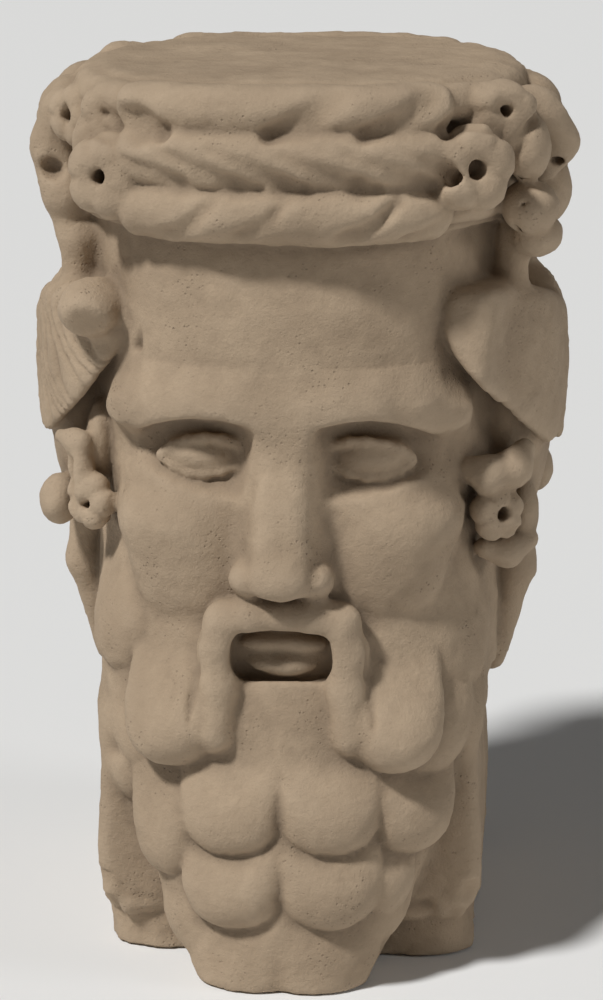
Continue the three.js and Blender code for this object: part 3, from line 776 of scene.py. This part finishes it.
def wear_tree(material):
    """Wears a carved surface: slow unevenness, tooling and pits, along its normals."""
    tree = bpy.data.node_groups.new("herm_wear", "GeometryNodeTree")
    face = tree.interface
    face.new_socket("Geometry", in_out="INPUT", socket_type="NodeSocketGeometry")
    for name, start in (
        ("Unevenness", 0.0006),
        ("Tooling", 0.0004),
        ("Pits", 0.0008),
        ("Seed", 0.0),
    ):
        socket = face.new_socket(name, in_out="INPUT", socket_type="NodeSocketFloat")
        socket.default_value = start
    face.new_socket("Geometry", in_out="OUTPUT", socket_type="NodeSocketGeometry")
    t = Tree(tree)
    given = t.add("NodeGroupInput").outputs
    island = t.add("GeometryNodeInputMeshIsland").outputs
    size = t.add(
        "GeometryNodeAccumulateField",
        {0: 1.0, 1: island["Island Index"]},
        data_type="FLOAT",
        domain="POINT",
    ).outputs["Total"]
    crumb = t.add("FunctionNodeCompare", {0: size, 1: 20000.0}, data_type="FLOAT", operation="LESS_THAN")
    whole = t.add(
        "GeometryNodeDeleteGeometry",
        {"Geometry": given["Geometry"], "Selection": crumb.outputs[0]},
        domain="POINT",
    ).outputs[0]
    place = t.add("GeometryNodeInputPosition").outputs[0]
    shift = t.add("ShaderNodeCombineXYZ", {"X": given["Seed"], "Y": given["Seed"]}).outputs[0]
    where = t.add("ShaderNodeVectorMath", {0: place, 1: shift}, operation="ADD").outputs[0]

    def rough(scale, detail):
        inputs = {"Vector": where, "Scale": scale, "Detail": detail, "Roughness": 0.55}
        made = t.add("ShaderNodeTexNoise", inputs)
        return t.maths("SUBTRACT", made.outputs[0], 0.5)

    slow = t.maths("MULTIPLY", rough(38.0, 2.0), t.maths("MULTIPLY", given["Unevenness"], 3.0))
    tool = t.maths("MULTIPLY", rough(150.0, 2.0), t.maths("MULTIPLY", given["Tooling"], 3.0))
    cells = t.add("ShaderNodeTexVoronoi", {"Vector": where, "Scale": 150.0, "Randomness": 1.0})
    dot = t.maths("SUBTRACT", 1.0, t.maths("MULTIPLY", cells.outputs["Distance"], 2.6))
    dot = t.maths("MAXIMUM", dot, 0.0)
    patch = t.maths("MULTIPLY", t.maths("MAXIMUM", t.maths("SUBTRACT", rough(24.0, 3.0), 0.02), 0.0), 5.0)
    pit = t.maths("MULTIPLY", t.maths("MULTIPLY", dot, patch), given["Pits"])
    depth = t.maths("SUBTRACT", t.maths("ADD", slow, tool), pit)
    normal = t.add("GeometryNodeInputNormal").outputs[0]
    move = t.add("ShaderNodeVectorMath", {0: normal, "Scale": depth}, operation="SCALE").outputs[0]
    moved = t.add("GeometryNodeSetPosition", {"Geometry": whole, "Offset": move}).outputs[0]
    joined = t.add("GeometryNodeRealizeInstances", {"Geometry": moved}).outputs[0]
    dressed = t.add("GeometryNodeSetMaterial", {"Geometry": joined, "Material": material}).outputs[0]
    t.add("NodeGroupOutput", {"Geometry": dressed})
    return tree


def set_input(modifier, name, value):
    for item in modifier.node_group.interface.items_tree:
        if item.item_type == "SOCKET" and item.in_out == "INPUT" and item.name == name:
            modifier[item.identifier] = value
            return
    raise ValueError(f"the tree has no input named {name}")


def stone_material(stone):
    material = bpy.data.materials.new("weathered_stone")
    material.use_nodes = True
    tree = material.node_tree
    tree.nodes.clear()
    t = Tree(tree)
    place = t.add("ShaderNodeTexCoord").outputs["Object"]

    def grain(scale, detail=4.0, rough=0.6):
        return t.add(
            "ShaderNodeTexNoise",
            {"Vector": place, "Scale": scale, "Detail": detail, "Roughness": rough},
        ).outputs[0]

    def blend(factor, a, b):
        made = t.add("ShaderNodeMix", {"Factor": factor}, data_type="RGBA")
        for key, value in ((6, a), (7, b)):
            if isinstance(value, bpy.types.NodeSocket):
                tree.links.new(value, made.inputs[key])
            else:
                made.inputs[key].default_value = (*value, 1)
        return made.outputs[2]

    def ramp(value, low, high):
        return t.add("ShaderNodeMapRange", {"Value": value, "From Min": low, "From Max": high}).outputs[0]

    # Painted shade: the hollow mask darkens the stone in concave hollows and creases, where shade falls.
    painted_shade = t.add("ShaderNodeAttribute", attribute_name="painted_shade").outputs["Fac"]
    edge = t.add("ShaderNodeAttribute", attribute_name="edge").outputs["Fac"]
    base = blend(ramp(grain(22.0, 5.0), 0.35, 0.65), stone.light, stone.dark)
    base = blend(t.maths("MULTIPLY", ramp(grain(300.0, 3.0), 0.4, 0.75), 0.35), base, stone.dark)
    base = blend(t.maths("MULTIPLY", painted_shade, 0.65), base, stone.painted_shade)
    base = blend(t.maths("MULTIPLY", edge, 0.35), base, stone.edge)
    cells = t.add("ShaderNodeTexVoronoi", {"Vector": place, "Scale": 420.0}).outputs["Distance"]
    pit = ramp(cells, 0.28, 0.05)
    patch = ramp(grain(45.0, 3.0), 0.5, 0.68)
    pits = t.maths("MULTIPLY", pit, patch)
    # Painted shade in the pits: they are darkened with the same colour as the hollows.
    base = blend(t.maths("MULTIPLY", pits, 0.45), base, stone.painted_shade)
    height = t.maths("ADD", grain(260.0, 6.0, 0.65), t.maths("MULTIPLY", pits, -0.8))
    height = t.maths("ADD", height, t.maths("MULTIPLY", grain(900.0, 3.0), 0.35))
    bump = t.add("ShaderNodeBump", {"Height": height, "Strength": 0.75, "Distance": stone.relief})
    shade = t.add("ShaderNodeBsdfPrincipled", {"Base Color": base, "Normal": bump.outputs[0]})
    shade.inputs["Roughness"].default_value = stone.roughness
    shade.inputs["Specular IOR Level"].default_value = 0.25
    t.add("ShaderNodeOutputMaterial", {"Surface": shade.outputs[0]})
    return material


class HermCarving(bpy.types.PropertyGroup):
    cell: FloatProperty(
        name="Grid",
        description="Spacing of the grid that the carving is worked out on, in millimetres",
        default=1.4,
        min=0.8,
        max=4.0,
    )
    triangles: IntProperty(name="Triangles", description="Most triangles in the head", default=190000)
    uneven: FloatProperty(
        name="Unevenness",
        description="Slow waves left by the carver",
        default=0.0006,
        unit="LENGTH",
        precision=5,
    )
    tooling: FloatProperty(
        name="Tooling", description="Depth of the tool marks", default=0.0004, unit="LENGTH", precision=5
    )
    pits: FloatProperty(
        name="Pits", description="Depth of the weathered pits", default=0.0008, unit="LENGTH", precision=5
    )
    seed: FloatProperty(name="Seed", description="Moves the pattern of wear", default=3.0)


class HermStone(bpy.types.PropertyGroup):
    light: FloatVectorProperty(
        name="Light", description="Palest stone", default=(0.42, 0.318, 0.218), subtype="COLOR", min=0, max=1
    )
    dark: FloatVectorProperty(
        name="Dark",
        description="Darkest patches",
        default=(0.33, 0.246, 0.166),
        subtype="COLOR",
        min=0,
        max=1,
    )
    # Colour of the painted shade that is laid into the hollows and the pits.
    painted_shade: FloatVectorProperty(
        name="Hollows",
        description="Painted shade in the hollows and pits",
        default=(0.17, 0.125, 0.085),
        subtype="COLOR",
        min=0,
        max=1,
    )
    edge: FloatVectorProperty(
        name="Edges", description="Rubbed edges", default=(0.5, 0.39, 0.28), subtype="COLOR", min=0, max=1
    )
    roughness: FloatProperty(
        name="Roughness", description="Roughness of the stone", default=0.88, min=0, max=1
    )
    relief: FloatProperty(
        name="Grain", description="Depth of the fine grain", default=0.0009, unit="LENGTH", precision=5
    )


class HermStage(bpy.types.PropertyGroup):
    floor: FloatVectorProperty(
        name="Floor",
        description="Colour of the floor",
        default=(0.8, 0.8, 0.79),
        subtype="COLOR",
        min=0,
        max=1,
    )
    key: FloatProperty(name="Key light", description="Strength of the light from the upper left", default=3.1)
    fill: FloatProperty(name="Side light", description="Strength of the light from the right", default=0.55)
    sky: FloatProperty(name="Sky", description="Strength of the even light from all round", default=0.06)
    backdrop: FloatProperty(name="Backdrop", description="Brightness seen beyond the floor", default=0.72)
    azimuth: FloatProperty(
        name="Azimuth",
        description="Way of the camera round the head",
        default=math.radians(4.5),
        subtype="ANGLE",
    )
    elevation: FloatProperty(
        name="Elevation", description="Camera above the horizon", default=math.radians(15), subtype="ANGLE"
    )
    distance: FloatProperty(name="Distance", description="Camera to the head", default=1.447, unit="LENGTH")
    lens: FloatProperty(name="Lens", description="Focal length of the camera", default=110.16, unit="CAMERA")


class HERM_OT_carve_head(bpy.types.Operator):
    """Carve the head in weathered stone"""

    bl_idname = "herm.carve_head"
    bl_label = "Carve Head"

    def execute(self, context):
        carving = context.scene.herm_carving
        cell = carving.cell
        clay = carve_stone(cell)
        points, faces = draw_skin(clay)
        material = stone_material(context.scene.herm_stone)
        rough = bpy.data.objects.new("herm_rough", mesh_of("herm_rough", points, faces))
        context.collection.objects.link(rough)
        wear = rough.modifiers.new("wear", "NODES")
        wear.node_group = wear_tree(material)
        set_input(wear, "Unevenness", carving.uneven)
        set_input(wear, "Tooling", carving.tooling)
        set_input(wear, "Pits", carving.pits)
        set_input(wear, "Seed", carving.seed)
        thin = rough.modifiers.new("thin", "DECIMATE")
        thin.ratio = min(1.0, carving.triangles / (2 * len(faces)))
        evaluated = rough.evaluated_get(context.evaluated_depsgraph_get())
        mesh = bpy.data.meshes.new_from_object(evaluated)
        bpy.data.objects.remove(rough)
        mesh.name = "herm_head"
        self.mark_hollows(clay, mesh)
        mesh.materials.clear()
        mesh.materials.append(material)
        mesh.shade_smooth()
        head = bpy.data.objects.new("herm_head", mesh)
        context.collection.objects.link(head)
        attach(head, "root")
        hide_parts(SOLID)
        return {"FINISHED"}

    @staticmethod
    def mark_hollows(clay, mesh):
        """Stores how far each point lies in a hollow, for the painted shade, or on an edge."""
        flat = np.zeros(len(mesh.vertices) * 3, np.float32)
        mesh.vertices.foreach_get("co", flat)
        points = flat.reshape(-1, 3) / MM
        near = blur(np.clip(clay.value, -6, 6), max(1, round(3.5 / clay.cell)))
        wide = blur(near, max(1, round(7 / clay.cell)))
        lean = sample(clay, near, points) * 0.6 + sample(clay, wide, points) * 0.5
        # The hollow value is the mask of the painted shade, and the edge value lightens convex edges.
        for name, values in (("painted_shade", -lean / 1.6), ("edge", lean / 1.8)):
            store = mesh.attributes.new(name, "FLOAT", "POINT")
            store.data.foreach_set("value", np.clip(values, 0, 1).astype(np.float32))


class HERM_OT_set_stage(bpy.types.Operator):
    """Lay the floor, and set the lights and the camera"""

    bl_idname = "herm.set_stage"
    bl_label = "Set Stage"

    def execute(self, context):
        stage = context.scene.herm_stage
        self.lay_floor(context, stage)
        aim = Vector((0, 0, 0.199))
        self.hang_light(context, "key", (-1.05, -0.95, 1.85), 7, stage.key)
        self.hang_light(context, "side", (2.0, -0.45, 0.75), 20, stage.fill)
        context.scene.world = self.even_sky(stage)
        context.scene.view_settings.view_transform = "Standard"
        self.set_camera(context, stage, aim)
        return {"FINISHED"}

    @staticmethod
    def even_sky(stage):
        """A world that lights the stone evenly and is seen as a pale backdrop."""
        world = bpy.data.worlds.new("herm_world")
        world.use_nodes = True
        world.node_tree.nodes.clear()
        t = Tree(world.node_tree)
        white = (1, 1, 1, 1)
        light = t.add("ShaderNodeBackground", {"Color": white, "Strength": stage.sky}).outputs[0]
        seen = t.add("ShaderNodeBackground", {"Color": white, "Strength": stage.backdrop}).outputs[0]
        ray = t.add("ShaderNodeLightPath").outputs["Is Camera Ray"]
        both = t.add("ShaderNodeMixShader", {0: ray, 1: light, 2: seen}).outputs[0]
        t.add("ShaderNodeOutputWorld", {"Surface": both})
        return world

    @staticmethod
    def lay_floor(context, stage):
        """A pale floor, level and wide, so that it hides the head from no side."""
        reach = 80.0
        points = [(-reach, -reach, 0), (reach, -reach, 0), (reach, reach, 0), (-reach, reach, 0)]
        mesh = bpy.data.meshes.new("floor")
        mesh.from_pydata(points, [], [(0, 1, 2, 3)])
        floor = bpy.data.objects.new("floor", mesh)
        material = bpy.data.materials.new("pale_floor")
        material.use_nodes = True
        shade = material.node_tree.nodes["Principled BSDF"]
        shade.inputs["Base Color"].default_value = (*stage.floor, 1)
        shade.inputs["Roughness"].default_value = 0.9
        mesh.materials.append(material)
        context.collection.objects.link(floor)

    @staticmethod
    def hang_light(context, name, place, width, strength):
        """A soft light from far off, so many degrees wide, that shines from a place on the head."""
        data = bpy.data.lights.new(name, "SUN")
        data.angle = math.radians(width)
        data.energy = strength
        light = bpy.data.objects.new(name, data)
        light.location = place
        light.rotation_euler = (-Vector(place)).to_track_quat("-Z", "Y").to_euler()
        context.collection.objects.link(light)

    @staticmethod
    def set_camera(context, stage, aim):
        data = bpy.data.cameras.new("camera")
        data.lens = stage.lens
        data.sensor_fit = "VERTICAL"
        data.sensor_height = 36
        camera = bpy.data.objects.new("camera", data)
        flat = math.cos(stage.elevation)
        back = Vector(
            (math.sin(stage.azimuth) * flat, -math.cos(stage.azimuth) * flat, math.sin(stage.elevation))
        )
        camera.location = aim + back * stage.distance
        camera.rotation_euler = (-back).to_track_quat("-Z", "Y").to_euler()
        context.collection.objects.link(camera)
        context.scene.camera = camera


class HERM_PT_sidebar(bpy.types.Panel):
    """Sizes, colours and steps of the herm head"""

    bl_idname = "HERM_PT_sidebar"
    bl_label = "Herm Head"
    bl_space_type = "VIEW_3D"
    bl_region_type = "UI"
    bl_category = "Herm"

    def draw(self, context):
        for group_name in ("herm_carving", "herm_stone", "herm_stage"):
            box = self.layout.box()
            group_here = getattr(context.scene, group_name)
            for key in type(group_here).__annotations__:
                box.prop(group_here, key)
        for operator in (HERM_OT_carve_head, HERM_OT_set_stage):
            self.layout.operator(operator.bl_idname)


CLASSES = (
    HermCarving,
    HermStone,
    HermStage,
    HERM_OT_carve_head,
    HERM_OT_set_stage,
    HERM_PT_sidebar,
)


def register():
    for item in CLASSES:
        bpy.utils.register_class(item)
    bpy.types.Scene.herm_carving = PointerProperty(type=HermCarving)
    bpy.types.Scene.herm_stone = PointerProperty(type=HermStone)
    bpy.types.Scene.herm_stage = PointerProperty(type=HermStage)


def unregister():
    del bpy.types.Scene.herm_stage
    del bpy.types.Scene.herm_stone
    del bpy.types.Scene.herm_carving
    for item in reversed(CLASSES):
        bpy.utils.unregister_class(item)


def main():
    register()
    bpy.ops.herm.carve_head()
    bpy.ops.herm.set_stage()


if __name__ == "__main__":
    main()
